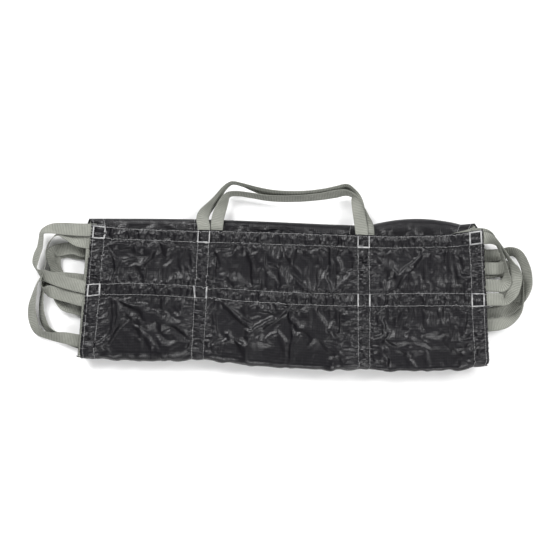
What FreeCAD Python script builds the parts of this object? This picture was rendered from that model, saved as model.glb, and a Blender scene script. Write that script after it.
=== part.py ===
import FreeCAD, Part, Sketcher
import os
from FreeCAD import Placement, Rotation, Vector

# Soft rescue stretcher: a nylon carrying sheet on a grid of webbing, folded in half across
# its length and then in three, as it is stored.  Millimetres.  X runs across the sheet, Y from
# the folded front to the hem end, Z up.  The origin is at the centre of the bottom face.

DOC = FreeCAD.newDocument("rescue_stretcher")
SHEET = DOC.addObject("Spreadsheet::Sheet", "Sizes")

DRIVING_SIZES = (
    ("sheet_width", 944, "across the sheet, edge to edge"),
    ("folded_depth", 345, "front fold to back fold"),
    ("hem_setback", 29, "the end hems stop this short of the back folds"),
    ("fabric_loft", 4.4, "height that one puckered layer of nylon takes"),
    ("webbing_width", 30, "strap width"),
    ("webbing_thickness", 1.6, "strap thickness"),
    ("layer_gap", 0.4, "free space between two folded layers"),
    ("edge_margin", 5, "fabric outside an edge strap"),
    ("hem_margin", 2, "fabric outside a hem strap"),
    ("carry_strap_spacing", 384, "between the two middle length straps, which end as carry handles"),
    ("carry_strap_shift", -8.5, "middle of that pair from the middle of the sheet"),
    ("foot_spacing", 139, "between the two cross straps of a pair, so between a loop's feet"),
    ("second_pair_centre", -40, "middle of the cross-strap pair on panels 2 and 5"),
    ("third_pair_centre", 11, "middle of the cross-strap pair on panels 3 and 4"),
    ("crossing_gap", 0.5, "space beside a length strap where a cross strap steps over it"),
    ("bridge_lap", 4, "length of a cross strap's step on each side of a length strap"),
    ("stitch_box_side", 27, "side of the stitched square at each crossing"),
    ("thread_width", 1.2, "width of a stitch line"),
    ("thread_depth", 0.3, "depth that the thread pulls into the fabric"),
    ("fold_end_gap", 0.5, "space between a fold and the panel that turns on it"),
    ("loop_root_gap", 4, "fabric edge to the line that a hand loop bends on"),
    ("strap_stub", 2.8, "strap that stands out of the fabric before a loop begins"),
    ("side_loop_reach", 118, "root to outside of a side loop"),
    ("side_loop_corner", 40, "length cut off a side loop's corners"),
    ("end_loop_reach", 108, "root to outside of an end loop"),
    ("end_loop_corner", 46, "length cut off an end loop's corners"),
)

# Panels are numbered along the sheet from one end hem to the other.  This is their order in
# the stack from the bottom up, after folding in half and then in three.
STACK = (3, 4, 5, 2, 1, 6)
END_PANELS = (1, 6)
# fold between two panels: (first panel, second panel, side of the stack, width of the fold)
FOLDS = {
    1: (2, 1, "front", "inner"),
    2: (3, 2, "back", "outer"),
    3: (3, 4, "front", "half"),
    4: (4, 5, "back", "inner"),
    5: (5, 6, "front", "outer"),
}

PITCH = "(Sizes.fabric_loft + 2 * Sizes.webbing_thickness + Sizes.layer_gap)"
FOLD_LINE = f"(Sizes.folded_depth / 2 - 2 * {PITCH} + Sizes.layer_gap / 2)"
HEM_LINE = "(Sizes.folded_depth / 2 - Sizes.hem_setback)"


def fill_sizes():
    """Write the driving sizes into the sheet, one row each."""
    for row, (alias, size, note) in enumerate(DRIVING_SIZES, start=1):
        SHEET.set(f"A{row}", note)
        SHEET.set(f"B{row}", str(size))
        SHEET.setAlias(f"B{row}", alias)
    DOC.recompute()


def size(alias):
    """A driving size as a plain number."""
    return float(getattr(SHEET, alias))


def pitch():
    return size("fabric_loft") + 2 * size("webbing_thickness") + size("layer_gap")


def fold_line():
    return size("folded_depth") / 2 - 2 * pitch() + size("layer_gap") / 2


def hem_line():
    return size("folded_depth") / 2 - size("hem_setback")


def layer_of(panel):
    return STACK.index(panel)


def plain_side_up(panel):
    """Every second layer lies with its webbing side down."""
    return layer_of(panel) % 2 == 1


def fabric_base(panel):
    base = layer_of(panel) * pitch()
    return base + 2 * size("webbing_thickness") if plain_side_up(panel) else base


def strap_base(panel, level):
    """Underside of the webbing next to the fabric (level 1) or one strap further out (level 2)."""
    if plain_side_up(panel):
        return layer_of(panel) * pitch() + (2 - level) * size("webbing_thickness")
    return layer_of(panel) * pitch() + size("fabric_loft") + (level - 1) * size("webbing_thickness")


def length_strap_centres():
    edge = size("sheet_width") / 2 - size("edge_margin") - size("webbing_width") / 2
    half = size("carry_strap_spacing") / 2
    shift = size("carry_strap_shift")
    return (-edge, shift - half, shift + half, edge)


def pair_centre(panel):
    """Middle of a panel's two cross straps along Y."""
    if panel in END_PANELS:
        first = hem_line() - size("hem_margin") - size("webbing_width") / 2
        return first - size("foot_spacing") / 2
    return size("second_pair_centre") if panel in (2, 5) else size("third_pair_centre")


def cross_strap_centres(panel):
    half = size("foot_spacing") / 2
    return (pair_centre(panel) + half, pair_centre(panel) - half)


def moves_on(panel, side):
    """True where the panel turns on the fold at that side, so that it needs a gap there."""
    return any(second == panel and where == side and number != 3
               for number, (first, second, where, kind) in FOLDS.items())


def front_end(panel):
    gap = size("fold_end_gap") if moves_on(panel, "front") else 0
    return gap - fold_line()


def back_end(panel):
    if panel in END_PANELS:
        return hem_line()
    return fold_line() - (size("fold_end_gap") if moves_on(panel, "back") else 0)


def length_expression(panel):
    """Length of a panel along Y, from the sheet's sizes."""
    ends = HEM_LINE if panel in END_PANELS else FOLD_LINE
    gaps = sum(moves_on(panel, side) for side in ("front", "back"))
    return f"{FOLD_LINE} + {ends} - {gaps} * Sizes.fold_end_gap"


def add(kind, name, **expressions):
    """A document object with its properties bound to the sheet."""
    made = DOC.addObject(kind, name)
    for prop, expression in expressions.items():
        made.setExpression(prop, expression)
    return made


def box(name, length, width, height, corner):
    made = add("Part::Box", name, Length=length, Width=width, Height=height)
    made.Placement = Placement(Vector(*corner), Rotation())
    return made


def cut(name, base, tool):
    made = DOC.addObject("Part::Cut", name)
    made.Base = base
    made.Tool = tool
    return made


def group(name, members):
    """Several separate solids in one object, such as the like straps of a panel."""
    made = DOC.addObject("Part::Compound", name)
    made.Links = members
    return made


def stitch_square(panel, number, x, y):
    """Thread ring sewn round a crossing, set flush in the plain side of the fabric."""
    name = f"square_{panel}_{number}"
    side = size("stitch_box_side")
    thread = size("thread_width")
    base = fabric_base(panel)
    if plain_side_up(panel):
        base += size("fabric_loft") - size("thread_depth")
    outer = box(f"{name}_outer", "Sizes.stitch_box_side", "Sizes.stitch_box_side",
                "Sizes.thread_depth", (x - side / 2, y - side / 2, base))
    inside = "Sizes.stitch_box_side - 2 * Sizes.thread_width"
    inner = box(f"{name}_inner", inside, inside, "Sizes.thread_depth",
                (x - side / 2 + thread, y - side / 2 + thread, base))
    return cut(name, outer, inner)


def box_stitches(panel):
    """The stitched squares of one panel, one at each crossing."""
    squares = []
    for y in cross_strap_centres(panel):
        for x in length_strap_centres():
            squares.append(stitch_square(panel, len(squares) + 1, x, y))
    return group(f"box_stitches_{panel}", squares)


def fabric_panel(panel, stitches):
    """One panel of the nylon sheet, grooved where the thread pulls in."""
    corner = (-size("sheet_width") / 2, front_end(panel), fabric_base(panel))
    cloth = box(f"cloth_{panel}", "Sizes.sheet_width", length_expression(panel),
                "Sizes.fabric_loft", corner)
    return cut(f"fabric_panel_{panel}", cloth, stitches)


def length_webbing(panel):
    """Four straps along the sheet, sewn straight onto the fabric."""
    straps = []
    for number, x in enumerate(length_strap_centres(), start=1):
        corner = (x - size("webbing_width") / 2, front_end(panel), strap_base(panel, 1))
        straps.append(box(f"length_strap_{panel}_{number}", "Sizes.webbing_width",
                          length_expression(panel), "Sizes.webbing_thickness", corner))
    return group(f"length_webbing_{panel}", straps)


def cross_strap(panel, number, y):
    """A strap across the sheet that steps over the four length straps."""
    name = f"cross_strap_{panel}_{number}"
    half = size("webbing_width") / 2
    gap = size("crossing_gap")
    lap = size("bridge_lap")
    start = -size("sheet_width") / 2 - size("strap_stub")
    level_1 = strap_base(panel, 1)
    level_2 = strap_base(panel, 2)
    flat = box(f"{name}_flat", "Sizes.sheet_width + 2 * Sizes.strap_stub", "Sizes.webbing_width",
               "Sizes.webbing_thickness", (start, y - half, level_1))
    gaps = []
    bridges = []
    for place, x in enumerate(length_strap_centres(), start=1):
        gaps.append(box(f"{name}_gap_{place}", "Sizes.webbing_width + 2 * Sizes.crossing_gap",
                        "Sizes.webbing_width", "Sizes.webbing_thickness",
                        (x - half - gap, y - half, level_1)))
        bridges.append(box(f"{name}_bridge_{place}", "Sizes.webbing_width + 2 * Sizes.bridge_lap",
                           "Sizes.webbing_width", "Sizes.webbing_thickness",
                           (x - half - lap, y - half, level_2)))
    opened = cut(f"{name}_opened", flat, group(f"{name}_gaps", gaps))
    strap = DOC.addObject("Part::MultiFuse", name)
    strap.Shapes = [opened] + bridges
    strap.Refine = True
    return strap


def cross_webbing(panel):
    straps = [cross_strap(panel, number, y)
              for number, y in enumerate(cross_strap_centres(panel), start=1)]
    return group(f"cross_webbing_{panel}", straps)


def fold_layers(number):
    """How many layers a fold goes round, itself included on both sides."""
    first, second, side, kind = FOLDS[number]
    return abs(layer_of(first) - layer_of(second)) + 1


def fabric_radii(number):
    """Outer and inner radius of a fold's nylon, as expressions."""
    if FOLDS[number][3] == "inner":
        return "(Sizes.layer_gap / 2 + Sizes.fabric_loft)", "(Sizes.layer_gap / 2)"
    outer = f"({fold_layers(number) / 2} * {PITCH} - Sizes.layer_gap / 2)"
    return outer, f"({outer} - Sizes.fabric_loft)"


def strap_radii(number):
    """Outer and inner radius of the straps, which lie on the webbing side of the nylon."""
    outer, inner = fabric_radii(number)
    if FOLDS[number][3] == "inner":
        return f"({outer} + Sizes.webbing_thickness)", outer
    return inner, f"({inner} - Sizes.webbing_thickness)"


def half_tube(name, number, radii, width, left_end):
    """Half of a tube along X round a fold's middle, open towards the panels."""
    first, second, side, kind = FOLDS[number]
    lower = min(layer_of(first), layer_of(second))
    middle = (lower + fold_layers(number) / 2) * pitch() - size("layer_gap") / 2
    out = 1 if side == "back" else -1
    turn = Rotation(Vector(0, 0, -out), Vector(0, out, 0), Vector(1, 0, 0), "ZXY")
    place = Placement(Vector(left_end, out * fold_line(), middle), turn)
    tubes = []
    for part, radius in zip(("outer", "inner"), radii):
        tube = add("Part::Cylinder", f"{name}_{part}", Radius=radius, Height=width)
        tube.Angle = 180
        tube.Placement = place
        tubes.append(tube)
    return cut(name, *tubes)


def fold_band(number):
    """The nylon that goes round a fold."""
    return half_tube(f"fold_band_{number}", number, fabric_radii(number), "Sizes.sheet_width",
                     -size("sheet_width") / 2)


def fold_webbing(number):
    """The four length straps where they go round a fold."""
    straps = []
    for place, x in enumerate(length_strap_centres(), start=1):
        straps.append(half_tube(f"fold_strap_{number}_{place}", number, strap_radii(number),
                                "Sizes.webbing_width", x - size("webbing_width") / 2))
    return group(f"fold_webbing_{number}", straps)


def loop_outline(span, reach, corner):
    """Corner points of a strap loop as expressions: both feet on Y, the grip out along X."""
    wide = f"({span} + Sizes.webbing_width) / 2"
    narrow = f"({span} - Sizes.webbing_width) / 2"
    grip = f"({reach} - Sizes.webbing_width)"
    inner = f"({corner} - (2 - sqrt(2)) * Sizes.webbing_width)"
    half = [
        ("0 * Sizes.webbing_width", wide),
        (f"{reach} - {corner}", wide),
        (reach, f"{wide} - {corner}"),
    ]
    inside = [
        ("0 * Sizes.webbing_width", narrow),
        (f"{grip} - {inner}", narrow),
        (grip, f"{narrow} - {inner}"),
    ]
    outer_side = [(x, y, 1) for x, y in half] + [(x, y, -1) for x, y in reversed(half)]
    inner_side = [(x, y, -1) for x, y in inside] + [(x, y, 1) for x, y in reversed(inside)]
    return outer_side + inner_side


SCRATCH_CELL = "D1"


def number_of(expression):
    """Work out an expression of the sheet's sizes through the sheet itself."""
    SHEET.set(SCRATCH_CELL, f"={expression.replace('Sizes.', '')}")
    SHEET.recompute()
    return float(SHEET.get(SCRATCH_CELL))


def plane_of(body, role):
    return next(item for item in body.Origin.OriginFeatures if item.Role == role)


def strap_loop(name, span, reach, corner, place):
    """A hand loop: one length of webbing, laid flat, with mitred corners."""
    body = DOC.addObject("PartDesign::Body", name)
    sketch = body.newObject("Sketcher::SketchObject", f"{name}_outline")
    sketch.AttachmentSupport = [(plane_of(body, "XY_Plane"), "")]
    sketch.MapMode = "FlatFace"
    outline = loop_outline(span, reach, corner)
    points = [Vector(number_of(x), sign * number_of(y), 0) for x, y, sign in outline]
    for start, end in zip(points, points[1:] + points[:1]):
        sketch.addGeometry(Part.LineSegment(start, end), False)
    for line in range(len(points)):
        before = (line - 1) % len(points)
        sketch.addConstraint(sketch_constraint("Coincident", before, 2, line, 1))
    for line, (x, y, sign) in enumerate(outline):
        pin_point(sketch, line, "X", points[line].x, x)
        pin_point(sketch, line, "Y", points[line].y, f"{sign} * ({y})")
    pad = body.newObject("PartDesign::Pad", f"{name}_strap")
    pad.Profile = sketch
    pad.setExpression("Length", "Sizes.webbing_thickness")
    body.Placement = place
    return body


def sketch_constraint(kind, *places):
    return Sketcher.Constraint(kind, *places)


def pin_point(sketch, line, direction, distance, expression):
    """Hold a line's start point at a distance from the sketch's origin."""
    kind = f"Distance{direction}"
    index = sketch.addConstraint(sketch_constraint(kind, -1, 1, line, 1, distance))
    sketch.renameConstraint(index, f"point_{line}_{direction}")
    sketch.setExpression(f"Constraints[{index}]", expression)


def side_loop(panel, side):
    """The hand loop that a panel's cross-strap pair makes beyond one long edge."""
    sign = 1 if side == "right" else -1
    root = sign * (size("sheet_width") / 2 + size("loop_root_gap"))
    turn = Rotation(Vector(0, 0, 1), 0 if side == "right" else 180)
    place = Placement(Vector(root, pair_centre(panel), strap_base(panel, 1)), turn)
    return strap_loop(f"{side}_loop_{panel}", "Sizes.foot_spacing", "Sizes.side_loop_reach",
                      "Sizes.side_loop_corner", place)


def end_loop(panel):
    """The carry handle that the two middle length straps make beyond an end hem."""
    root = hem_line() + size("loop_root_gap")
    place = Placement(Vector(size("carry_strap_shift"), root, strap_base(panel, 1)),
                      Rotation(Vector(0, 0, 1), 90))
    return strap_loop(f"end_loop_{panel}", "Sizes.carry_strap_spacing", "Sizes.end_loop_reach",
                      "Sizes.end_loop_corner", place)


def build():
    """Every sub-part, in the order in which the sheet is sewn."""
    made = []
    for panel in range(1, len(STACK) + 1):
        stitches = box_stitches(panel)
        made.append(stitches)
        made.append(fabric_panel(panel, stitches))
        made.append(length_webbing(panel))
        made.append(cross_webbing(panel))
        made.append(side_loop(panel, "left"))
        made.append(side_loop(panel, "right"))
    for number in FOLDS:
        made.append(fold_band(number))
        made.append(fold_webbing(number))
    for panel in END_PANELS:
        made.append(end_loop(panel))
    return made


def check(made):
    """Stop on any failed object or unsound shape before anything is written."""
    for item in DOC.Objects:
        if "Invalid" in item.State or "Error" in item.State:
            raise RuntimeError(f"{item.Name} failed: {item.State}")
    for item in made:
        if item.Shape.isNull() or not item.Shape.isValid():
            raise RuntimeError(f"{item.Label} has no valid shape")
        if not item.Shape.Solids:
            raise RuntimeError(f"{item.Label} has no solid")


def export(made):
    os.makedirs("parts", exist_ok=True)
    for item in made:
        item.Shape.exportStep(f"parts/{item.Label}.step")


fill_sizes()
PARTS = build()
DOC.recompute()
check(PARTS)
export(PARTS)
print(f"{len(PARTS)} nodes, {sum(len(item.Shape.Solids) for item in PARTS)} solids")
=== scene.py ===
import math

import bpy
import numpy as np
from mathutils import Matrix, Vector, noise


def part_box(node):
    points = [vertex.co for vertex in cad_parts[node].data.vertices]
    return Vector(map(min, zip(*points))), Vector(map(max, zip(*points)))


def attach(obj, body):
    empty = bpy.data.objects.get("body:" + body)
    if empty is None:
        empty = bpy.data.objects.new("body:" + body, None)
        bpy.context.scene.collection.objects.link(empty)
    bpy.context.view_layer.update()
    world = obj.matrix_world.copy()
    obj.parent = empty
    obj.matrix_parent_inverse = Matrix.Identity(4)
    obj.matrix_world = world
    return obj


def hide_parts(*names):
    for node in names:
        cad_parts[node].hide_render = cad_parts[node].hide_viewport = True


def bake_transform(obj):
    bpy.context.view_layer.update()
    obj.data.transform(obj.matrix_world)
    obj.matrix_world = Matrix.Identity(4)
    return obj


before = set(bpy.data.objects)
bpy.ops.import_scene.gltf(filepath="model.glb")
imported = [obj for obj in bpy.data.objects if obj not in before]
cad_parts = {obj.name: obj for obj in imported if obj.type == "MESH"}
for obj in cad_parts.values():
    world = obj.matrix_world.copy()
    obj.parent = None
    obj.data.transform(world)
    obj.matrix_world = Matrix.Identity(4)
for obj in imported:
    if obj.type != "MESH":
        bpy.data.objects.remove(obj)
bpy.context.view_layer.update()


# ---------------------------------------------------------------------------------------------
# The folded stack.  The carrying sheet is one length of nylon, folded in half across its length
# and then in three.  Six panels lie on one another, every second one with its straps down.
# Each panel has slipped and skewed a little on the one below, as cloth does.

STACK = (3, 4, 5, 2, 1, 6)
FRONT_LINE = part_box("fold_band_5")[1][1]
BACK_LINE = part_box("fold_band_2")[0][1]
STRAP_WIDTH = 0.030
STRAP_THICKNESS = 0.0016
BODY_OF = {1: "panel_1", 2: "panel_2", 3: "folded_third", 4: "folded_third", 5: "panel_5", 6: "panel_6"}
# fold that a panel's cloth runs on round: panel -> (line, direction along y, panel it reaches)
RUNS_ON = {6: (FRONT_LINE, -1, 5), 2: (BACK_LINE, 1, 3), 4: (FRONT_LINE, -1, 3)}
# How each panel lies.  Across the sheet: its widening and its shift, at the front and the back.
# Along it, in millimetres: how far it has slipped at the four straps and midway, at its front,
# its middle and its back.
LIE_ACROSS = {
    1: ((0.0250, -0.0215), (-0.0120, -0.0110)),
    2: ((0.0000, -0.0450), (-0.0100, -0.0091)),
    3: ((0.0020, -0.0120), (-0.0100, -0.0060)),
    4: ((0.0000, -0.0250), (-0.0120, -0.0080)),
    5: ((0.0080, -0.0200), (-0.0060, -0.0040)),
    6: ((0.0250, -0.0215), (-0.0012, 0.0059)),
}
LIE_ALONG = {
    1: ((4, 3, -1, -3, 2), (-13, -6, 4, 12, 24), (-11, -8, -12, -24, -1)),
    2: ((4, 3, -2, -4, 2), (-11, -5, 3, 8, 20), (4, 2, -8, -20, -13)),
    3: ((6, 4, 0, 0, 2), (10, 6, 2, 1, 3), (4, 2, -2, -6, -6)),
    4: ((6, 4, 0, 0, 2), (10, 6, 2, 1, 3), (0, 0, -4, -16, -10)),
    5: ((6, 5, -2, -6, -3), (-10, -5, 2, 8, 16), (0, 0, -4, -16, -10)),
    6: ((16, 13, -7, -20, -13), (15, 9, -4, -8, -8), (12, 0, -4, -11, 0)),
}
PLACES = (-452, -200, 0, 184, 452)


class Panel:
    """One panel of the sheet: where it lies, which side is up and how it has slipped."""

    def __init__(self, number):
        low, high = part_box(f"fabric_panel_{number}")
        straps_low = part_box(f"length_webbing_{number}")[0]
        self.number = number
        self.body = BODY_OF[number]
        self.side = 1 if straps_low[2] < low[2] else -1
        self.row = low[2] if self.side > 0 else high[2]
        self.front, self.back = low[1], high[1]
        self.left, self.right = low[0], high[0]
        self.fold = None
        places = np.array(PLACES) / 1000
        self.waves = [np.polyfit(places, np.array(slips) / 1000, 4) for slips in LIE_ALONG[number]]

    def lie(self, x, y):
        """How far the cloth has slipped at each place."""
        (widen, less), (shift, end_shift) = LIE_ACROSS[self.number]
        back = np.clip((y - FRONT_LINE) / (BACK_LINE - FRONT_LINE), 0, 1)
        slip_x = x * (widen + (less - widen) * back) + shift + (end_shift - shift) * back
        front, middle, rear = [np.polyval(wave, x) for wave in self.waves]
        near_front, near_back = np.clip(1 - 2 * back, 0, 1), np.clip(2 * back - 1, 0, 1)
        slip_y = middle + (front - middle) * near_front + (rear - middle) * near_back
        return slip_x, slip_y

    def place(self, across, along, off):
        """Points of the flat panel in the stack.  off is the height over the strap side's plane."""
        across, along, off = np.broadcast_arrays(across, along, off)
        y = np.array(along, dtype=float)
        z = self.row + self.side * off
        slip_x, slip_y = self.lie(across, along)
        if self.fold:
            line, way, far = self.fold
            radius = (self.row - far.row) / 2
            turn = np.clip((along - line) * way / radius, 0, math.pi)
            past = turn > 0
            y = np.where(past, line + way * (radius + off) * np.sin(turn), y)
            z = np.where(past, (self.row + far.row) / 2 + (radius + off) * np.cos(turn), z)
            far_x, far_y = far.lie(across, along)
            share = turn / math.pi
            slip_x = slip_x + (far_x - slip_x) * share
            slip_y = slip_y + (far_y - slip_y) * share
        return np.stack([across + slip_x, y + slip_y, z], axis=-1)


panels = {number: Panel(number) for number in STACK}
for number, (line, way, far) in RUNS_ON.items():
    panel = panels[number]
    panel.fold = (line, way, panels[far])
    run = math.pi * (panel.row - panels[far].row) / 2
    if way < 0:
        panel.front = line - run
    else:
        panel.back = line + run


def bend_with(piece, number):
    """Ride a panel, or, where the panel's cloth runs on round a fold to another body, stay fixed in place."""
    panel = panels[number]
    if panel.fold and panel.fold[2].body != panel.body:
        line, way, far = panel.fold
        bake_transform(piece)
    else:
        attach(piece, panel.body)


# ---------------------------------------------------------------------------------------------
# The grid of straps.  Four lengths of 30 mm grey-green polyamide webbing run the length of the
# sheet and two cross each panel, stepping over the long ones.  They are sewn to the nylon's
# hidden side, and their ends come out at the edges as the hand loops.

class Shade:
    """A value in a material's nodes.  Arithmetic on it adds Math nodes."""

    def __init__(self, tree, socket):
        self.tree = tree
        self.socket = socket

    def add(self, kind, settings, sockets, output=0):
        """Any node: its settings are set first, then the values or links of its sockets."""
        made = self.tree.nodes.new(kind)
        for name, value in settings.items():
            setattr(made, name, value)
        for name, value in sockets.items():
            if isinstance(value, Shade):
                self.tree.links.new(value.socket, made.inputs[name])
            else:
                made.inputs[name].default_value = value
        return Shade(self.tree, made.outputs[output])

    def math(self, operation, *values):
        return self.add("ShaderNodeMath", {"operation": operation}, dict(enumerate(values)))

    def __add__(self, other):
        return self.math("ADD", self, other)

    __radd__ = __add__

    def __mul__(self, other):
        return self.math("MULTIPLY", self, other)

    __rmul__ = __mul__

    def __sub__(self, other):
        return self.math("SUBTRACT", self, other)

    def __rsub__(self, other):
        return self.math("SUBTRACT", other, self)

    def clamp(self, low, high):
        return self.math("MINIMUM", self.math("MAXIMUM", self, low), high)

    def smooth(self, low, high):
        """0 below low, 1 above high, smooth between."""
        return self.add("ShaderNodeMapRange", {"interpolation_type": "SMOOTHSTEP"},
                        {"Value": self, "From Min": low, "From Max": high})

    def tones(self, first, second):
        """This value, from 0 to 1, as a colour between two."""
        sockets = {"Factor": self, 6: (*first, 1), 7: (*second, 1)}
        return self.add("ShaderNodeMix", {"data_type": "RGBA"}, sockets, output=2)

    def out(self, index):
        """Another output of the same node."""
        return Shade(self.tree, self.socket.node.outputs[index])


def start_material(name):
    """A new material, its shader node and a Shade to build its pattern from."""
    material = bpy.data.materials.new(name)
    material.use_nodes = True
    tree = material.node_tree
    return material, tree.nodes["Principled BSDF"], Shade(tree, None)


def feed(shader, **values):
    """Connect or set the shader's inputs, with underscores for spaces."""
    for name, value in values.items():
        socket = shader.inputs[name.replace("_", " ")]
        if isinstance(value, Shade):
            value.tree.links.new(value.socket, socket)
        else:
            socket.default_value = value


def flat_map(shade):
    """Metres across and along the flat cloth or strap, from its own UV map."""
    spot = shade.add("ShaderNodeUVMap", {"uv_map": "flat"}, {})
    first = spot.add("ShaderNodeSeparateXYZ", {}, {"Vector": spot})
    return first, first.out(1)


def band_noise(shade, across, along, scale, detail, seed):
    """Noise on stretched coordinates."""
    spot = shade.add("ShaderNodeCombineXYZ", {}, {"X": across, "Y": along, "Z": seed})
    return spot.add("ShaderNodeTexNoise", {}, {"Vector": spot, "Scale": scale, "Detail": detail})


def bump(height, strength, distance):
    return height.add("ShaderNodeBump", {}, {"Strength": strength, "Distance": distance, "Height": height})


def make_mesh(name, points, faces, material, flat=None, attributes=()):
    """A mesh object at the origin with smooth faces, its flat map and any point attributes."""
    mesh = bpy.data.meshes.new(name)
    mesh.from_pydata(np.asarray(points, dtype=float).reshape(-1, 3).tolist(), [], [tuple(f) for f in faces])
    mesh.update()
    mesh.polygons.foreach_set("use_smooth", [True] * len(mesh.polygons))
    if flat is not None:
        layer = mesh.uv_layers.new(name="flat")
        corners = np.empty(len(mesh.loops), dtype=int)
        mesh.loops.foreach_get("vertex_index", corners)
        layer.data.foreach_set("uv", np.asarray(flat, dtype=float).reshape(-1, 2)[corners].ravel())
    for label, values in attributes:
        mesh.attributes.new(label, "FLOAT", "POINT").data.foreach_set("value", values)
    mesh.materials.append(material)
    made = bpy.data.objects.new(name, mesh)
    bpy.context.collection.objects.link(made)
    return made


def grid_faces(rows, columns, wrap=False):
    """Quads of a grid of points, closed across its columns if wrap is set."""
    index = np.arange(rows * columns).reshape(rows, columns)
    if wrap:
        index = np.concatenate([index, index[:, :1]], axis=1)
    return np.stack([index[:-1, :-1], index[:-1, 1:], index[1:, 1:], index[1:, :-1]], -1).reshape(-1, 4)


EDGE_STRAPS = (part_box("length_webbing_6")[0][0] + STRAP_WIDTH / 2,
               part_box("length_webbing_6")[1][0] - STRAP_WIDTH / 2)
CARRY_STRAPS = (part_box("end_loop_6")[0][0] + STRAP_WIDTH / 2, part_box("end_loop_6")[1][0] - STRAP_WIDTH / 2)
LONG_STRAPS = (EDGE_STRAPS[0], CARRY_STRAPS[0], CARRY_STRAPS[1], EDGE_STRAPS[1])


def cross_straps(number):
    low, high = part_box(f"cross_webbing_{number}")
    return (low[1] + STRAP_WIDTH / 2, high[1] - STRAP_WIDTH / 2)


RIB_PITCH = 0.0038
STRAND_PITCH = 0.0016
WOVEN_EDGE = (0.0122, 0.0140)


def webbing_material():
    """Ribbed polyamide webbing: ribs across the strap, a woven edge, dull grey-green, and painted shade that
    darkens the grooves between the ribs.
    """
    material, shader, shade = start_material("webbing")
    along, across = flat_map(shade)
    ribs = shade.math("SINE", along * (2 * math.pi / RIB_PITCH))
    strands = shade.math("SINE", across * (2 * math.pi / STRAND_PITCH))
    edge = shade.math("ABSOLUTE", across).smooth(*WOVEN_EDGE)
    wear = band_noise(shade, along, across, 45.0, 5.0, 0.3)
    speck = band_noise(shade, along, across, 750.0, 2.0, 4.1)
    # painted shade: the rib tops are lighter and the grooves between them darker, following the same ribs as
    # the bump
    tone = (0.42 - ribs * (1 - edge) * 0.30 + (wear - 0.5) * 0.70 + (speck - 0.5) * 0.7
            + edge * 0.15).clamp(0.0, 1.0)
    height = ribs * 0.6 * (1 - edge) + strands * 0.12 + speck * 0.3
    feed(shader, Base_Color=tone.tones((0.275, 0.281, 0.248), (0.108, 0.112, 0.100)),
         Roughness=0.72 + (wear - 0.5) * 0.12, Normal=bump(height, 0.7, 0.0008),
         Specular_IOR_Level=0.25)
    return material


webbing = webbing_material()


def section(width, thickness):
    """Outline of a strap's section: flat faces and round edges, as (across, up) points."""
    edge = thickness / 2
    half = width / 2 - edge
    faces = np.linspace(-half, half, 7)
    turns = np.linspace(0, math.pi, 5)[1:-1]
    right = [(half + edge * math.sin(t), edge * math.cos(t)) for t in turns]
    top = [(a, edge) for a in faces]
    return np.array(top + right + [(-a, -b) for a, b in top] + [(-a, -b) for a, b in right])


def strap_mesh(centres, across, normals):
    """Points, faces and flat map of a strap along a line of centres, closed at both ends."""
    outline = section(STRAP_WIDTH, STRAP_THICKNESS)
    points = (centres[:, None, :] + outline[None, :, :1] * across[:, None, :]
              + outline[None, :, 1:] * normals[:, None, :])
    steps = np.linalg.norm(np.diff(centres, axis=0), axis=1)
    length = np.concatenate([[0], np.cumsum(steps)])
    flat = np.stack(np.broadcast_arrays(length[:, None], outline[None, :, 0]), axis=-1)
    rows, columns = points.shape[:2]
    faces = grid_faces(rows, columns, wrap=True).tolist()
    faces.append(list(range(columns))[::-1])
    faces.append(list(range((rows - 1) * columns, rows * columns)))
    return points.reshape(-1, 3), faces, flat.reshape(-1, 2)


def join(meshes):
    """Several (points, faces, flat map) in one."""
    points, faces, flats, count = [], [], [], 0
    for part_points, part_faces, part_flat in meshes:
        points.append(part_points)
        faces += [[corner + count for corner in face] for face in part_faces]
        flats.append(part_flat)
        count += len(part_points)
    return np.concatenate(points), faces, np.concatenate(flats)


def unit(vectors):
    return vectors / np.maximum(np.linalg.norm(vectors, axis=-1, keepdims=True), 1e-9)


def long_strap(panel, x):
    """A strap along one panel, just under the nylon's strap side."""
    along = np.linspace(panel.front, panel.back, 70)
    centre = panel.place(x, along, -STRAP_THICKNESS / 2)
    edge = panel.place(x + STRAP_WIDTH / 2, along, -STRAP_THICKNESS / 2)
    inside = panel.place(x, along, -STRAP_THICKNESS)
    return strap_mesh(centre, unit(edge - centre), unit(centre - inside))


# how far a cross strap ends inside its panel, and where it begins and ends its step
STRAP_INSET = 0.010
STEP_START = 0.0195
STEP_RUN = 0.004


def cross_strap(panel, y):
    """A strap across one panel, lifted one thickness where it steps over a long strap."""
    x = np.linspace(panel.left + STRAP_INSET, panel.right - STRAP_INSET, 150)
    nearest = np.min([np.abs(x - centre) for centre in LONG_STRAPS], axis=0)
    step = np.clip((STEP_START - nearest) / STEP_RUN, 0, 1)
    off = -STRAP_THICKNESS * (0.5 + step * step * (3 - 2 * step))
    centre = panel.place(x, y, off)
    edge = panel.place(x, y + STRAP_WIDTH / 2, off)
    across = unit(edge - centre)
    run = unit(np.gradient(centre, axis=0))
    return strap_mesh(centre, across, unit(np.cross(run, across)))


for number, panel in panels.items():
    parts = [long_strap(panel, x) for x in LONG_STRAPS]
    parts += [cross_strap(panel, y) for y in cross_straps(number)]
    points, faces, flat = join(parts)
    grid = make_mesh(f"strap_grid_{number}", points, faces, webbing, flat)
    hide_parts(f"length_webbing_{number}", f"cross_webbing_{number}")
    bend_with(grid, number)


# ---------------------------------------------------------------------------------------------
# The nylon sheet.  Light ripstop nylon, gathered on the straps, so that it puckers at every seam.
# Panels 6, 5 and 4 are cloth simulations, held at the seams and grown by the gather, and panels
# 1, 2 and 3 take their puckers from these, stretched to fit.

SEAM_OFFSET = 0.0135
CELL = 0.0032
COARSE_CELL = CELL * 1.3
GATHER = 0.085
FOLD_REACH = 0.040
THREAD_PITCH = 0.0052


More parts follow.
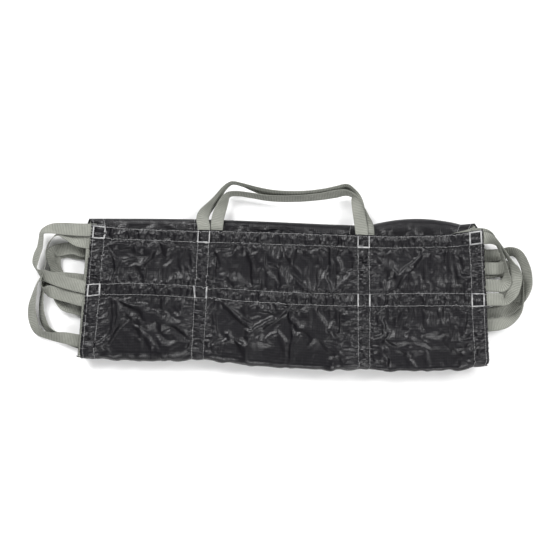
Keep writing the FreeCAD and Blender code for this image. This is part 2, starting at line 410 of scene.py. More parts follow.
def seam_lines(number):
    """Places across and along the sheet where a row of stitches runs."""
    across = [x + way * SEAM_OFFSET for x in LONG_STRAPS for way in (-1, 1)]
    along = [y + way * SEAM_OFFSET for y in cross_straps(number) for way in (-1, 1)]
    return across, along


def spaced(low, high, keys, cell):
    """Grid lines between two edges that also fall on every key line."""
    marks = [low] + sorted(k for k in keys if low < k < high) + [high]
    lines = []
    for start, end in zip(marks, marks[1:]):
        count = max(1, round((end - start) / cell))
        lines.extend(start + (end - start) * step / count for step in range(count))
    return np.array(lines + [high])


def near(lines, place):
    return int(np.argmin(np.abs(lines - place)))


def held_points(x_lines, y_lines, seams_x, seams_y, rng):
    """Grid points that the stitches and hems hold, some millimetres apart along each seam."""
    held = set()
    for place in seams_x:
        column, row = near(x_lines, place), 0
        while row < len(y_lines):
            held.add((row, column))
            row += int(rng.integers(2, 5))
    for place in seams_y:
        row, column = near(y_lines, place), 0
        while column < len(x_lines):
            held.add((row, column))
            column += int(rng.integers(2, 5))
    rows, columns = len(y_lines), len(x_lines)
    held.update((row, column) for row in range(0, rows, 2) for column in (0, columns - 1))
    held.update((row, column) for row in (0, rows - 1) for column in range(columns))
    return held


def ruffle(number, x_lines, y_lines, seed):
    """Uneven start for the cloth, so that it buckles in folds that run out from the seams."""
    height = np.zeros((len(y_lines), len(x_lines)))
    by_long = np.exp(-np.min([np.abs(x_lines - x) for x in LONG_STRAPS], axis=0) / FOLD_REACH)
    by_cross = np.exp(-np.min([np.abs(y_lines - y) for y in cross_straps(number)], axis=0) / FOLD_REACH)
    for row, y in enumerate(y_lines):
        for column, x in enumerate(x_lines):
            broad = noise.noise(Vector(((x + 0.5 * y) / 0.042, (y - 0.4 * x) / 0.085, seed)))
            beside = noise.noise(Vector((x / 0.080, y / 0.0105, seed + 7))) * by_long[column]
            over = noise.noise(Vector((x / 0.0105, y / 0.080, seed + 9))) * by_cross[row]
            height[row, column] = 0.008 * broad + 0.009 * (beside + over)
    return height


def simulate(x_lines, y_lines, held, height):
    """Cloth held at the seams and grown by its gather, ten times life size."""
    scale = 10.0
    x, y = np.meshgrid(x_lines, y_lines)
    points = np.stack([x, y, height + 0.0006], -1) * scale
    mesh = bpy.data.meshes.new("cloth_blank")
    mesh.from_pydata(points.reshape(-1, 3).tolist(), [], grid_faces(*x.shape).tolist())
    cloth = bpy.data.objects.new("cloth_blank", mesh)
    bpy.context.collection.objects.link(cloth)
    pins = cloth.vertex_groups.new(name="held")
    pins.add([row * x.shape[1] + column for row, column in held], 1.0, "REPLACE")
    settings = cloth.modifiers.new("cloth", "CLOTH").settings
    settings.quality = 5
    settings.mass = 0.05
    settings.tension_stiffness = settings.compression_stiffness = 40
    settings.shear_stiffness = 12
    settings.bending_stiffness = 0.7
    settings.bending_damping = 0.5
    settings.air_damping = 1.0
    settings.shrink_min = settings.shrink_max = -GATHER
    settings.vertex_group_mass = "held"
    settings.pin_stiffness = 50
    settings.effector_weights.gravity = 0.5
    cloth.modifiers["cloth"].collision_settings.distance_min = 0.004
    board_mesh = bpy.data.meshes.new("board")
    board_mesh.from_pydata([(-8, -4, 0), (8, -4, 0), (8, 4, 0), (-8, 4, 0)], [], [(0, 1, 2, 3)])
    board = bpy.data.objects.new("board", board_mesh)
    bpy.context.collection.objects.link(board)
    board.modifiers.new("board", "COLLISION")
    board.collision.thickness_outer = 0.004
    board.collision.cloth_friction = 20
    frames = 30
    scene = bpy.context.scene
    scene.frame_start, scene.frame_end = 1, frames + 1
    for step in range(1, frames + 1):
        scene.frame_set(step)
    settled = cloth.evaluated_get(bpy.context.evaluated_depsgraph_get()).data
    result = np.empty(len(settled.vertices) * 3)
    settled.vertices.foreach_get("co", result)
    scene.frame_set(1)
    for spent in (cloth, board):
        data = spent.data
        bpy.data.objects.remove(spent)
        bpy.data.meshes.remove(data)
    return result.reshape(x.shape + (3,)) / scale


def puckered(number, cell, seed):
    """Grid lines of a panel and where its cloth settles: across, along and height."""
    panel = panels[number]
    seams_x, seams_y = seam_lines(number)
    fold_lines = [panel.fold[0]] if panel.fold else []
    x_lines = spaced(panel.left, panel.right, seams_x, cell)
    y_lines = spaced(panel.front, panel.back, seams_y + fold_lines, cell)
    held = held_points(x_lines, y_lines, seams_x, seams_y, np.random.default_rng(seed))
    height = ruffle(number, x_lines, y_lines, seed)
    for row, column in held:
        height[row, column] = 0
    settled = simulate(x_lines, y_lines, held, height)
    return x_lines, y_lines, settled


def nylon_material():
    """Black ripstop nylon with a soft sheen: a raised thread grid, a fine weave and the short
    ripples that the seams gather it into."""
    material, shader, shade = start_material("ripstop_nylon")
    across, along = flat_map(shade)
    grid = shade.math("MAXIMUM", thread_line(across, THREAD_PITCH), thread_line(along, THREAD_PITCH))
    gather_long = shade.add("ShaderNodeAttribute", {"attribute_name": "gather_long"}, {}, output=2)
    gather_cross = shade.add("ShaderNodeAttribute", {"attribute_name": "gather_cross"}, {}, output=2)
    over = band_noise(shade, across * 115, along * 22, 1.0, 2.0, 1.7) * gather_cross
    beside = band_noise(shade, across * 22, along * 115, 1.0, 2.0, 6.2) * gather_long
    crumple = band_noise(shade, across, along, 48.0, 3.5, 2.9)
    weave = band_noise(shade, across, along, 1500.0, 1.0, 5.0)
    height = (over + beside) * 5.0 + crumple * 1.6 + grid * 0.10 + weave * 0.05
    tint = band_noise(shade, across, along, 9.0, 3.0, 8.0)
    pale = (tint * 0.5 + grid * 0.7).clamp(0.0, 1.0)
    color = pale.tones((0.0010, 0.0008, 0.0015), (0.0046, 0.0040, 0.0064))
    rough = (0.35 + (weave - 0.5) * 0.10 + grid * 0.08 + (crumple - 0.5) * 0.10).clamp(0.2, 0.7)
    feed(shader, Base_Color=color, Roughness=rough, Normal=bump(height, 0.9, 0.0013),
         Specular_IOR_Level=0.36)
    return material


def thread_line(place, pitch):
    """1 on a raised thread of the ripstop grid, 0 between."""
    wave = place.math("ABSOLUTE", place.math("SINE", place * (math.pi / pitch)))
    return 1 - wave.smooth(0.12, 0.42)


nylon = nylon_material()

# loose cloth between two straps at a fold: from, to, and how far it hangs out
SLACK = {
    6: ((-0.437, -0.215, 0.009), (-0.186, 0.170, 0.007), (0.198, 0.437, 0.005)),
    2: ((0.215, 0.437, 0.018),),
}
# the most that each panel billows and that its creases stand, within the room its layer has
HIGHEST = {6: (0.0060, 0.0080), 2: (0.0025, 0.0020), 4: (0.0022, 0.0016), 1: (0.0022, 0.0016),
           3: (0.0022, 0.0016), 5: (0.0022, 0.0016)}
SETTLED = {}
SETTLED[6] = puckered(6, CELL, 3)
SETTLED[5] = puckered(5, COARSE_CELL, 11)
SETTLED[4] = puckered(4, COARSE_CELL, 23)


def borrowed(number, source):
    """The puckers of the panel whose straps lie in the same places, stretched to this one."""
    x_lines, source_y, settled = SETTLED[source]
    panel = panels[number]
    seams_x, seams_y = seam_lines(number)
    fold_lines = [panel.fold[0]] if panel.fold else []
    y_lines = spaced(panel.front, panel.back, seams_y + fold_lines, COARSE_CELL)
    picked = np.clip(y_lines, source_y[0], source_y[-1])
    out = np.empty((len(y_lines), len(x_lines), 3))
    for axis in range(3):
        for column in range(len(x_lines)):
            out[:, column, axis] = np.interp(picked, source_y, settled[:, column, axis])
    out[:, :, 1] += (y_lines - picked)[:, None]
    return x_lines, y_lines, out


def near_seam(lines, centres, reach):
    """1 between the two stitch rows of a strap, fading to 0 a little way outside them."""
    apart = np.min([np.abs(lines - centre) for centre in centres], axis=0) - SEAM_OFFSET
    return np.clip(1 - apart / reach, 0, 1)


def evened(height, rounds, along=1):
    """Heights evened out across the sheet, and along it too where along is 1."""
    for _ in range(rounds):
        wide = np.pad(height, ((0, 0), (1, 1)), mode="edge")
        height = (wide[:, :-2] + 2 * height + wide[:, 2:]) / 4
        tall = np.pad(height, ((1, 1), (0, 0)), mode="edge")
        height = height + along * ((tall[:-2] + 2 * height + tall[2:]) / 4 - height)
    return height


SLACK_REACH = 0.045


def slack(panel, across, along):
    """How far the loose cloth between the straps hangs out past the fold."""
    reach = np.zeros(np.shape(across))
    for left, right, depth in SLACK.get(panel.number, ()):
        inside = np.clip((across - left) / (right - left), 0, 1)
        reach += depth * np.sin(math.pi * inside) ** 0.8
    line, way, _ = panel.fold
    return way * reach * np.clip(1 + (along - line) * way / SLACK_REACH, 0, 1) ** 2


CLOTH_THICKNESS = 0.0004
# the lowest cloth over the straps' plane, where a fold begins to even out its puckers, how far the
# ripples run from a strap, and the share of panel 1's side hem that is tucked in
LOWEST = 0.0001
FOLD_EASE = 0.012
GATHER_REACH = 0.030
HEM_TUCK = 0.85


def nylon_sheet(number, x_lines, y_lines, settled):
    """The mesh of one panel's nylon, without the cloth's thickness, which thicken gives it afterwards."""
    panel = panels[number]
    across, along = settled[:, :, 0], settled[:, :, 1]
    height = np.maximum(settled[:, :, 2], LOWEST)
    if panel.fold:
        line, way, _ = panel.fold
        turning = np.clip(1 + (along - line) * way / FOLD_EASE, 0, 1)
        height = height + (evened(height, 9, along=0) - height) * turning
    billow, crease = HIGHEST[number]
    broad = evened(height, 40)
    height = billow * np.tanh(broad / billow) + crease * np.tanh((height - broad) / crease)
    height = np.maximum(height, LOWEST)
    if number == 1:
        margin = np.maximum(np.abs(across) - abs(EDGE_STRAPS[0]) - STRAP_WIDTH / 2, 0)
        across = across - np.sign(across) * margin * HEM_TUCK
    points = panel.place(across, along, height)
    if panel.fold:
        points[:, :, 1] += slack(panel, across, along)
    rows, columns = height.shape
    faces = grid_faces(rows, columns)
    if panel.side < 0:
        faces = faces[:, ::-1]
    flat = np.stack(np.meshgrid(x_lines, y_lines), -1)
    along_long = np.broadcast_to(near_seam(x_lines, LONG_STRAPS, GATHER_REACH)[None, :], height.shape)
    by_cross = near_seam(y_lines, cross_straps(number), GATHER_REACH)
    along_cross = np.broadcast_to(by_cross[:, None], height.shape)
    attributes = (("gather_long", along_long.ravel() * (1 - 0.6 * along_cross.ravel())),
                  ("gather_cross", along_cross.ravel() * (1 - 0.6 * along_long.ravel())))
    sheet = make_mesh(f"nylon_panel_{number}", points, faces, nylon, flat, attributes)
    return sheet, points


def thicken(piece, thickness):
    """Give a sheet its thickness towards its hidden side, and apply it."""
    shell = piece.modifiers.new("thickness", "SOLIDIFY")
    shell.thickness = thickness
    shell.offset = -1
    evaluated = piece.evaluated_get(bpy.context.evaluated_depsgraph_get())
    mesh = bpy.data.meshes.new_from_object(evaluated)
    piece.modifiers.clear()
    old = piece.data
    piece.data = mesh
    bpy.data.meshes.remove(old)


for number, source in ((1, 6), (2, 5), (3, 4)):
    SETTLED[number] = borrowed(number, source)
# the outer fold that each of these panels runs on round
OUTER_FOLD = {6: 5, 2: 2, 4: 3}
CLOTH = {}
for number, panel in panels.items():
    x_lines, y_lines, settled = SETTLED[number]
    sheet, points = nylon_sheet(number, x_lines, y_lines, settled)
    CLOTH[number] = (x_lines, y_lines, points)
    thicken(sheet, CLOTH_THICKNESS)
    hidden = [f"fabric_panel_{number}"]
    if number in OUTER_FOLD:
        hidden += [f"fold_band_{OUTER_FOLD[number]}", f"fold_webbing_{OUTER_FOLD[number]}"]
    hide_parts(*hidden)
    flat_size = ((panel.right - panel.left) * (1 + GATHER), (panel.back - panel.front) * (1 + GATHER))
    below = STACK[STACK.index(number) - 1] if number != STACK[0] else None
    bend_with(sheet, number)


# The two tight folds inside the stack: the nylon and its four straps turning between panels 4
# and 5 and between panels 2 and 1, with the straps on the outside of the turn.

def inner_fold(band, lower, upper, way):
    """Nylon and straps round a tight fold, from one panel's strap plane to the next one's."""
    low, high = panels[lower], panels[upper]
    line = BACK_LINE if way > 0 else FRONT_LINE
    middle, radius = (low.row + high.row) / 2, (high.row - low.row) / 2
    turns = np.linspace(0, math.pi, 15)
    x_lines = np.linspace(low.left, low.right, 120)

    def turned(x, off):
        x, turn = np.meshgrid(x, turns)
        share = turn / math.pi
        low_x, low_y = low.lie(x, np.full_like(x, line))
        high_x, high_y = high.lie(x, np.full_like(x, line))
        y = line + way * (radius + off) * np.sin(turn)
        z = middle - (radius + off) * np.cos(turn)
        return np.stack([x + low_x + (high_x - low_x) * share, y + low_y + (high_y - low_y) * share, z], -1)

    points = turned(x_lines, -CLOTH_THICKNESS)
    faces = grid_faces(*points.shape[:2])
    if way > 0:
        faces = faces[:, ::-1]
    flat = np.stack(np.meshgrid(x_lines, line + way * turns * radius), -1)
    zeros = np.zeros(points.shape[0] * points.shape[1])
    cloth = make_mesh(f"nylon_fold_{band}", points, faces, nylon, flat,
                      (("gather_long", zeros), ("gather_cross", zeros)))
    thicken(cloth, CLOTH_THICKNESS)
    straps = []
    for x in LONG_STRAPS:
        centre = turned(np.array([x]), STRAP_THICKNESS / 2)[:, 0]
        edge = turned(np.array([x + STRAP_WIDTH / 2]), STRAP_THICKNESS / 2)[:, 0]
        outer = turned(np.array([x]), STRAP_THICKNESS)[:, 0]
        straps.append(strap_mesh(centre, unit(edge - centre), unit(outer - centre) * -way))
    points, faces, flat = join(straps)
    straps = make_mesh(f"strap_fold_{band}", points, faces, webbing, flat)
    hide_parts(f"fold_band_{band}")
    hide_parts(f"fold_webbing_{band}")
    math.pi * radius
    for piece in (cloth, straps):
        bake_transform(piece)


inner_fold(4, 4, 5, 1)
inner_fold(1, 2, 1, -1)


# ---------------------------------------------------------------------------------------------
# The topstitching.  Two rows of light-grey thread run along every strap, through the nylon's
# plain side.  Each stitch is a short bead of thread, set on its row by Geometry Nodes.

def thread_material():
    """Light-grey bonded thread, a little soiled."""
    material, shader, shade = start_material("thread")
    spot = shade.add("ShaderNodeTexCoord", {}, {}, output=3)
    soil = spot.add("ShaderNodeTexNoise", {}, {"Vector": spot, "Scale": 60.0, "Detail": 3.0})
    twist = spot.add("ShaderNodeTexNoise", {}, {"Vector": spot, "Scale": 2200.0, "Detail": 1.0})
    feed(shader, Base_Color=soil.smooth(0.35, 0.75).tones((0.42, 0.42, 0.42), (0.20, 0.20, 0.21)),
         Roughness=0.55 + twist * 0.1, Normal=bump(twist, 0.4, 0.0003))
    return material


thread = thread_material()


def stitch_bead(length, width):
    """One stitch: a low bead of thread lying along X."""
    mesh = bpy.data.meshes.new("stitch_bead")
    ring = [(0.0, 1.0), (0.87, 0.5), (0.87, -0.5), (0.0, -1.0), (-0.87, -0.5), (-0.87, 0.5)]
    points = [(-length / 2, 0, 0)]
    for x, size in ((-0.3, 0.9), (0.3, 0.9)):
        points += [(x * length, a * size * width / 2, b * size * width / 2) for a, b in ring]
    points.append((length / 2, 0, 0))
    faces = [(0, 1 + (i + 1) % 6, 1 + i) for i in range(6)]
    faces += [(1 + i, 1 + (i + 1) % 6, 7 + (i + 1) % 6, 7 + i) for i in range(6)]
    faces += [(13, 7 + i, 7 + (i + 1) % 6) for i in range(6)]
    mesh.from_pydata(points, [], faces)
    mesh.update()
    bead = bpy.data.objects.new("stitch_bead", mesh)
    bpy.context.collection.objects.link(bead)
    return bead


def stitch_tree():
    """Geometry Nodes that set a bead at every step along a row, turned along it."""
    tree = bpy.data.node_groups.new("stitch_rows", "GeometryNodeTree")
    face = tree.interface
    face.new_socket("Rows", in_out="INPUT", socket_type="NodeSocketGeometry")
    face.new_socket("Pitch", in_out="INPUT", socket_type="NodeSocketFloat").default_value = 0.004
    face.new_socket("Turn", in_out="INPUT", socket_type="NodeSocketFloat").default_value = 0.0
    face.new_socket("Unevenness", in_out="INPUT", socket_type="NodeSocketFloat").default_value = 0.08
    face.new_socket("Bead", in_out="INPUT", socket_type="NodeSocketObject")
    face.new_socket("Thread", in_out="INPUT", socket_type="NodeSocketMaterial")
    face.new_socket("Stitches", in_out="OUTPUT", socket_type="NodeSocketGeometry")
    add = tree.nodes.new
    link = tree.links.new
    given = add("NodeGroupInput")
    step = add("GeometryNodeResampleCurve")
    step.mode = "LENGTH"
    link(given.outputs["Rows"], step.inputs["Curve"])
    link(given.outputs["Pitch"], step.inputs["Length"])
    tangent = add("GeometryNodeInputTangent")
    along = add("FunctionNodeAlignRotationToVector")
    along.axis = "X"
    link(tangent.outputs[0], along.inputs["Vector"])
    uneven = add("FunctionNodeRandomValue")
    uneven.data_type = "FLOAT"
    negative = add("ShaderNodeMath")
    negative.operation = "MULTIPLY"
    negative.inputs[1].default_value = -1
    link(given.outputs["Unevenness"], negative.inputs[0])
    link(negative.outputs[0], uneven.inputs[2])
    link(given.outputs["Unevenness"], uneven.inputs[3])
    uneven.inputs["Seed"].default_value = 4
    angle = add("ShaderNodeMath")
    link(given.outputs["Turn"], angle.inputs[0])
    link(uneven.outputs[1], angle.inputs[1])
    spin = add("ShaderNodeCombineXYZ")
    link(angle.outputs[0], spin.inputs["Z"])
    turn = add("FunctionNodeRotateRotation")
    turn.rotation_space = "LOCAL"
    link(along.outputs[0], turn.inputs[0])
    link(spin.outputs[0], turn.inputs[1])
    bead = add("GeometryNodeObjectInfo")
    link(given.outputs["Bead"], bead.inputs["Object"])
    put = add("GeometryNodeInstanceOnPoints")
    link(step.outputs[0], put.inputs["Points"])
    link(bead.outputs["Geometry"], put.inputs["Instance"])
    link(turn.outputs[0], put.inputs["Rotation"])
    real = add("GeometryNodeRealizeInstances")
    link(put.outputs[0], real.inputs[0])
    paint = add("GeometryNodeSetMaterial")
    link(real.outputs[0], paint.inputs["Geometry"])
    link(given.outputs["Thread"], paint.inputs["Material"])
    done = add("NodeGroupOutput")
    link(paint.outputs[0], done.inputs[0])
    return tree


stitches = stitch_tree()
topstitch_bead = stitch_bead(0.0032, 0.0010)
TOPSTITCH_PITCH = 0.0040


def sew(name, rows, pitch, bead, turn=0.0):
    """Run the stitch nodes on rows of points and keep the result as a plain mesh."""
    curve = bpy.data.curves.new(name, "CURVE")
    curve.dimensions = "3D"
    for row in rows:
        spline = curve.splines.new("POLY")
        spline.points.add(len(row) - 1)
        spline.points.foreach_set("co", np.concatenate([row, np.ones((len(row), 1))], 1).ravel())
    guide = bpy.data.objects.new(name + "_rows", curve)
    bpy.context.collection.objects.link(guide)
    nodes = guide.modifiers.new("stitches", "NODES")
    nodes.node_group = stitches
    values = {"Pitch": pitch, "Turn": turn, "Unevenness": 0.08, "Bead": bead, "Thread": thread}
    for item in stitches.interface.items_tree:
        if item.in_out == "INPUT" and item.name in values:
            nodes[item.identifier] = values[item.name]
    evaluated = guide.evaluated_get(bpy.context.evaluated_depsgraph_get())
    mesh = bpy.data.meshes.new_from_object(evaluated)
    bpy.data.objects.remove(guide)
    mesh.polygons.foreach_set("use_smooth", [True] * len(mesh.polygons))
    made = bpy.data.objects.new(name, mesh)
    bpy.context.collection.objects.link(made)
    return made


THREAD_LIFT = 0.0004


def raised(points, outward):
    return points + np.asarray(outward) * THREAD_LIFT


def seam_rows(number):
    """The stitch rows of a panel, lying on its puckered cloth."""
    x_lines, y_lines, points = CLOTH[number]
    side = (0, 0, panels[number].side)
    seams_x, seams_y = seam_lines(number)
    rows = [raised(points[:, near(x_lines, place)], side) for place in seams_x]
    rows += [raised(points[near(y_lines, place), :], side) for place in seams_y]
    return rows


for number in panels:
    rows = seam_rows(number)
    topstitch = sew(f"topstitch_{number}", rows, TOPSTITCH_PITCH, topstitch_bead)
    bend_with(topstitch, number)


# ---------------------------------------------------------------------------------------------
# The stitched crossings.  Where straps cross, the sewing machine goes round a square in dense
# satin stitch: a full square at the edge straps, two bars at the inner crossings and a heavy
# lower bar where the carry handles leave the hem.

satin_bead = stitch_bead(0.0036, 0.0011)
heavy_bead = stitch_bead(0.0044, 0.0012)
SATIN_PITCH = 0.0010
SATIN_TURN = math.pi / 2 - 0.25


def cloth_line(number, start, end):
    """Points on the cloth between two places of the flat sheet."""
    x_lines, y_lines, points = CLOTH[number]
    steps = 15
    out = []
    for x, y in zip(np.linspace(start[0], end[0], steps), np.linspace(start[1], end[1], steps)):
        out.append(points[near(y_lines, y), near(x_lines, x)])
    out = np.array(out)
    ends = np.linspace(0, 1, steps)[:, None]
    straight = out[0] + (out[-1] - out[0]) * ends
    side = panels[number].side
    straight[:, 2] = (out[:, 2] * side).max() * side
    return raised(straight, (0, 0, side * 1.2))


def crossing_bars(number):
    """Lines of satin stitch round each crossing of a panel, light ones and heavy ones."""
    light, heavy = [], []
    half = SEAM_OFFSET
    upper = max(cross_straps(number))
    for y in cross_straps(number):
        for x in LONG_STRAPS:
            corners = [(x - half, y - half), (x + half, y - half), (x + half, y + half), (x - half, y + half)]
            ends = corners[1:] + corners[:1]
            bottom, right, top, left = [cloth_line(number, *side) for side in zip(corners, ends)]
            if x in EDGE_STRAPS:
                light += [bottom, top] if y != upper else []
                heavy += [left, right] if y != upper else [bottom, right, top, left]
            elif y == upper and number in (1, 6):
                light += [left, right]
                heavy += [bottom]
            else:
                heavy += [left, right]
    return light, heavy


for number in panels:
    light, heavy = crossing_bars(number)
    square = sew(f"crossing_squares_{number}", light, SATIN_PITCH, satin_bead, turn=SATIN_TURN)
    bars = sew(f"crossing_bars_{number}", heavy, SATIN_PITCH, heavy_bead, turn=SATIN_TURN)
    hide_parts(f"box_stitches_{number}")
    for piece in (square, bars):
        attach(piece, panels[number].body)
for bead in (topstitch_bead, satin_bead, heavy_bead):
    bpy.data.objects.remove(bead)


# ---------------------------------------------------------------------------------------------
# The hand loops.  Each pair of cross straps comes out at the sheet's long edge, and the strap
# goes out, twists on its edge to turn, and comes back.  They lie as they fell, one on another.

def smooth_route(route, step):
    """Even points on a smooth line through the route, each with its roll."""
    knots = np.array(route, dtype=float)
    ends = np.concatenate([[2 * knots[0] - knots[1]], knots, [2 * knots[-1] - knots[-2]]])
    fine = []
    for p0, p1, p2, p3 in zip(ends, ends[1:], ends[2:], ends[3:]):
        for t in np.linspace(0, 1, 24, endpoint=False):
            fine.append(0.5 * (2 * p1 + (p2 - p0) * t + (2 * p0 - 5 * p1 + 4 * p2 - p3) * t * t
                               + (3 * p1 - p0 - 3 * p2 + p3) * t ** 3))
    fine = np.array(fine + [knots[-1]])
    length = np.concatenate([[0], np.cumsum(np.linalg.norm(np.diff(fine[:, :3], axis=0), axis=1))])
    places = np.linspace(0, length[-1], int(length[-1] / step) + 1)
    return np.stack([np.interp(places, length, fine[:, axis]) for axis in range(4)], -1)


ROUTE_STEP = 2.5


def loop_strap(name, route, sink=1.0):
    """A strap along a route of (x, y, z, roll), in millimetres and degrees.  Roll 0 lies flat.
    sink is the share of the route's drop that the stiff webbing gives way to."""
    line = smooth_route(route, ROUTE_STEP)
    line[:, 2] = line[0, 2] + (line[:, 2] - line[0, 2]) * sink
    centres = line[:, :3] / 1000
    run = unit(np.gradient(centres, axis=0))
    flat_side = unit(np.cross([0, 0, 1], run))
    face = np.cross(run, flat_side)
    roll = np.radians(line[:, 3:])
    across = flat_side * np.cos(roll) + face * np.sin(roll)
    normals = unit(np.cross(run, across))
    points, faces, flat = strap_mesh(centres, across, normals)
    return make_mesh(name, points, faces, webbing, flat)


LEFT_LOOPS = {
    6: [(-445, 144, 42, 0), (-460, 144, 42, 0), (-487, 145, 41, 4), (-520, 147, 38, 14),
        (-552, 148, 35, 36), (-574, 141, 31, 60), (-578, 122, 28, 58), (-581, 103, 26, 54),
        (-588, 85, 25, 50), (-592, 67, 25, 54), (-587, 49, 26, 76), (-566, 36, 30, 30),
        (-526, 22, 36, 4), (-487, 12, 40, 0), (-461, 6, 42, 0), (-445, 4, 42, 0)],
    1: [(-445, 115, 37, 0), (-461, 115, 37, 0), (-488, 119, 36, 10), (-514, 130, 32, 48),
        (-538, 135, 28, 74), (-558, 118, 24, 84), (-567, 94, 21, 84), (-568, 70, 18, 80),
        (-574, 46, 16, 80), (-580, 22, 16, 80), (-574, 4, 18, 70), (-550, -3, 24, 8),
        (-505, -15, 31, 2), (-478, -22, 36, 0), (-457, -26, 37, 0)],
    4: [(-445, 96, 10, 0), (-460, 96, 10, 0), (-482, 95, 11, 20), (-505, 102, 13, 12),
        (-535, 98, 12, 0), (-556, 90, 12, -30), (-556, 70, 14, -60), (-546, 46, 12, -38),
        (-543, 19, 10, -24), (-543, -11, 11, -50), (-526, -34, 11, -30), (-505, -40, 10, -6),
        (-482, -46, 10, 0), (-460, -49, 10, 0)],
    2: [(-445, 22, 26, 0), (-469, 22, 26, 0), (-505, 27, 23, 0), (-550, 31, 20, 20), (-579, 31, 18, 70),
        (-591, 16, 17, 76), (-597, -7, 16, 62), (-603, -37, 16, 46), (-601, -67, 16, 36),
        (-590, -94, 17, 44), (-563, -107, 18, 52), (-526, -112, 17, 22), (-493, -118, 22, 4),
        (-469, -122, 26, 0), (-450, -123, 26, 0)],
    5: [(-445, 24, 21, 0), (-469, 24, 21, 0), (-505, 28, 18, 0), (-545, 30, 14, 10), (-570, 24, 10, 40),
        (-579, 2, 9, 62), (-583, -34, 9, 58), (-579, -66, 9, 50), (-568, -90, 9, 52),
        (-548, -105, 10, 52), (-522, -113, 11, 28), (-493, -122, 17, 6), (-468, -126, 21, 0),
        (-448, -128, 21, 0)],
    3: [(-445, 90, 5, 0), (-466, 90, 5, 0), (-495, 90, 4, 0), (-524, 94, 4, 0), (-546, 86, 5, 12),
        (-550, 60, 5, 16), (-541, 34, 5, 12), (-536, 4, 5, 12), (-526, -26, 4, 8), (-505, -38, 4, 2),
        (-482, -46, 4, 0), (-464, -49, 5, 0), (-448, -50, 5, 0)],
}
RIGHT_LOOPS = {
    6: [(454, 126, 42, 0), (468, 126, 42, 0), (485, 122, 41, 40), (502, 112, 38, 74), (516, 96, 35, 82),
        (529, 78, 33, 84), (541, 56, 31, 62), (547, 31, 30, 20), (541, 2, 30, 20), (526, -22, 32, 56),
        (508, -20, 36, 8), (487, -20, 40, 0), (473, -20, 42, 0), (455, -20, 42, 0)],
    1: [(438, 134, 37, 0), (456, 134, 37, 0), (474, 134, 37, 30), (491, 128, 34, 74),
        (504, 110, 30, 84), (514, 88, 26, 86), (522, 64, 23, 86), (527, 41, 21, 76), (524, 20, 22, 34),
        (510, 12, 27, 4), (487, 13, 33, 0), (468, 14, 37, 0), (450, 14, 37, 0)],
    4: [(451, 85, 10, 0), (466, 85, 10, 0), (495, 84, 10, 6), (519, 88, 11, 24), (538, 94, 13, 44),
        (556, 88, 14, 50), (569, 68, 14, 52), (577, 41, 15, 50), (577, 9, 15, 48), (563, -18, 14, 46),
        (541, -40, 12, 34), (519, -51, 11, 12), (495, -55, 10, 0), (476, -56, 10, 0),
        (456, -56, 10, 0)],
    2: [(451, 54, 26, 0), (466, 54, 26, 0), (495, 53, 23, 4), (514, 54, 20, 18), (533, 58, 18, 36),
        (549, 49, 17, 52), (559, 25, 17, 64), (562, -2, 16, 70), (560, -29, 16, 60), (548, -54, 16, 36),
        (526, -73, 18, 14), (503, -80, 22, 2), (478, -82, 25, 0), (458, -83, 26, 0)],
    5: [(450, 44, 21, 0), (468, 46, 21, 0), (496, 46, 16, 4), (520, 48, 11, 16), (538, 42, 9, 30),
        (548, 18, 9, 40), (550, -8, 9, 42), (546, -36, 9, 30), (530, -60, 8, 20), (510, -72, 9, 10),
        (490, -79, 16, 2), (468, -84, 21, 0), (450, -88, 21, 0)],
    3: [(450, 80, 5, 0), (468, 80, 5, 0), (496, 76, 4, 0), (518, 64, 4, 10), (530, 40, 5, 14),
        (530, 6, 5, 12), (522, -28, 4, 8), (508, -48, 4, 4), (488, -57, 4, 0), (468, -59, 5, 0),
        (450, -59, 5, 0)],
}
ROOT_GIVE = 0.004
# two distances past a lower loop's panel edge, for the edges that overhang it
OVERHANG = (0.012, 0.030)
# the loops of the upper panels are held up by those under them
SINK = {6: 0.5, 1: 0.55}


def hang_loop(name, node, number, side, route):
    """Make a side loop along its route in place of the model's loop."""
    loop = loop_strap(name, route, SINK.get(number, 1.0))
    low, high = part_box(node)
    root = low[0] if side > 0 else high[0]
    near_end, far_end = (-ROOT_GIVE, ROOT_GIVE) if number in (6, 1) else OVERHANG
    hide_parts(node)
    root + side * near_end
    root + side * far_end
    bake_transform(loop)


for number in STACK:
    hang_loop(f"left_hand_strap_{number}", f"left_loop_{number}", number, -1, LEFT_LOOPS[number])
    hang_loop(f"right_hand_strap_{number}", f"right_loop_{number}", number, 1, RIGHT_LOOPS[number])


# The carry handles.  The two middle straps of each end come out over the hem as one long loop,
# which lies back over the folds and drops to the ground behind them.

HANDLE_SINK = 0.45
END_LOOPS = {
    6: [(-194, 112, 42, 0), (-193, 130, 42, 0), (-192, 152, 42, 0), (-195, 168, 41, -6),
        (-191, 183, 37, 26), (-175, 203, 30, 52), (-159, 222, 24, 62), (-144, 243, 20, 72),
        (-126, 256, 18, 78), (-102, 252, 17, 78), (-67, 240, 17, 66), (-31, 231, 16, 56),
        (8, 227, 15, 50), (53, 228, 15, 50), (92, 233, 16, 52), (122, 240, 18, 56), (146, 246, 20, 62),
        (163, 234, 24, 66), (171, 210, 32, 24), (176, 178, 38, 2), (180, 150, 42, 0), (182, 130, 42, 0),
        (183, 108, 42, 0)],
    1: [(-164, 112, 37, 0), (-163, 128, 37, 0), (-162, 148, 38, 0), (-158, 176, 36, 10),
        (-147, 207, 27, 40), (-134, 228, 20, 66), (-112, 231, 16, 70), (-79, 227, 14, 68),
        (-43, 221, 12, 66), (-7, 219, 11, 64), (38, 220, 11, 62), (83, 224, 12, 60), (119, 230, 14, 56),
        (146, 233, 16, 66), (168, 222, 20, 78), (184, 198, 27, 80), (193, 172, 34, 62),
        (196, 148, 37, 10), (197, 128, 37, 0), (198, 112, 37, 0)],
}


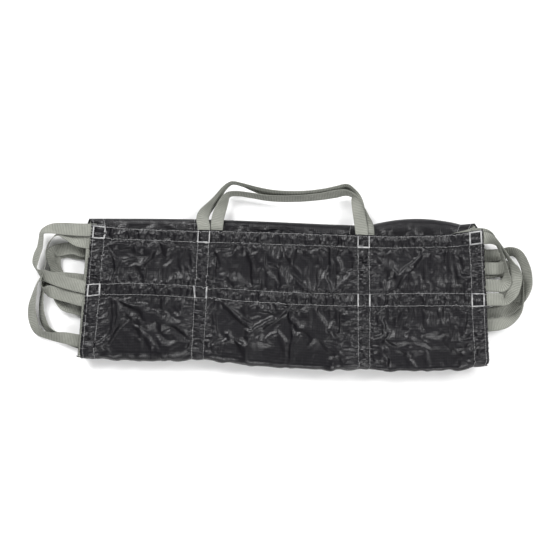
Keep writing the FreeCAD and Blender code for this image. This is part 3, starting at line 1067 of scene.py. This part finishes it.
def hang_carry_handle(name, node, number):
    """Make a carry handle along its route in place of the model's end loop."""
    loop = loop_strap(name, END_LOOPS[number], HANDLE_SINK)
    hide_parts(node)
    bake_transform(loop)


for number in (6, 1):
    hang_carry_handle(f"carry_handle_{number}", f"end_loop_{number}", number)


# ---------------------------------------------------------------------------------------------
# The studio: a pale floor, a large soft light behind and to the left, a fill from the front,
# and a camera straight above the folded stretcher.

def floor_material():
    """Matt pale studio floor with a very faint mottle."""
    material, shader, shade = start_material("floor")
    spot = shade.add("ShaderNodeTexCoord", {}, {}, output=3)
    mottle = spot.add("ShaderNodeTexNoise", {}, {"Vector": spot, "Scale": 3.0, "Detail": 2.0})
    feed(shader, Base_Color=mottle.tones((0.93, 0.93, 0.93), (0.90, 0.90, 0.90)), Roughness=0.9,
         Specular_IOR_Level=0.1)
    return material


def soft_light(name, place, target, size, power):
    light = bpy.data.lights.new(name, "AREA")
    light.shape = "SQUARE"
    light.size = size
    light.energy = power
    made = bpy.data.objects.new(name, light)
    made.location = place
    made.rotation_euler = (Vector(target) - Vector(place)).to_track_quat("-Z", "Y").to_euler()
    bpy.context.collection.objects.link(made)


FLOOR_REACH = 8.0
corners = [(x * FLOOR_REACH, y * FLOOR_REACH, 0) for x, y in ((-1, -1), (1, -1), (1, 1), (-1, 1))]
floor = make_mesh("floor", corners, [(0, 1, 2, 3)], floor_material())

soft_light("key_light", (-2.5, 3.6, 3.6), (0, 0, 0), 2.5, 370)
soft_light("side_light", (3.6, 1.9, 3.6), (0, 0, 0), 2.3, 190)
soft_light("front_light", (0.9, -4.3, 3.8), (0, 0, 0), 2.6, 215)
world = bpy.data.worlds.new("studio")
world.use_nodes = True
world.node_tree.nodes["Background"].inputs["Color"].default_value = (1, 1, 1, 1)
world.node_tree.nodes["Background"].inputs["Strength"].default_value = 0.30
bpy.context.scene.world = world
bpy.context.scene.view_settings.view_transform = "Standard"

LENS = 85
VIEW_WIDTH = 1.3216
VIEW_CENTRE = (-0.0118, 0.026)
camera = bpy.data.cameras.new("camera")
camera.lens = LENS
seat = bpy.data.objects.new("camera", camera)
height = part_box("fabric_panel_6")[1][2] + VIEW_WIDTH * LENS / camera.sensor_width
seat.location = (*VIEW_CENTRE, height)
bpy.context.collection.objects.link(seat)
bpy.context.scene.camera = seat
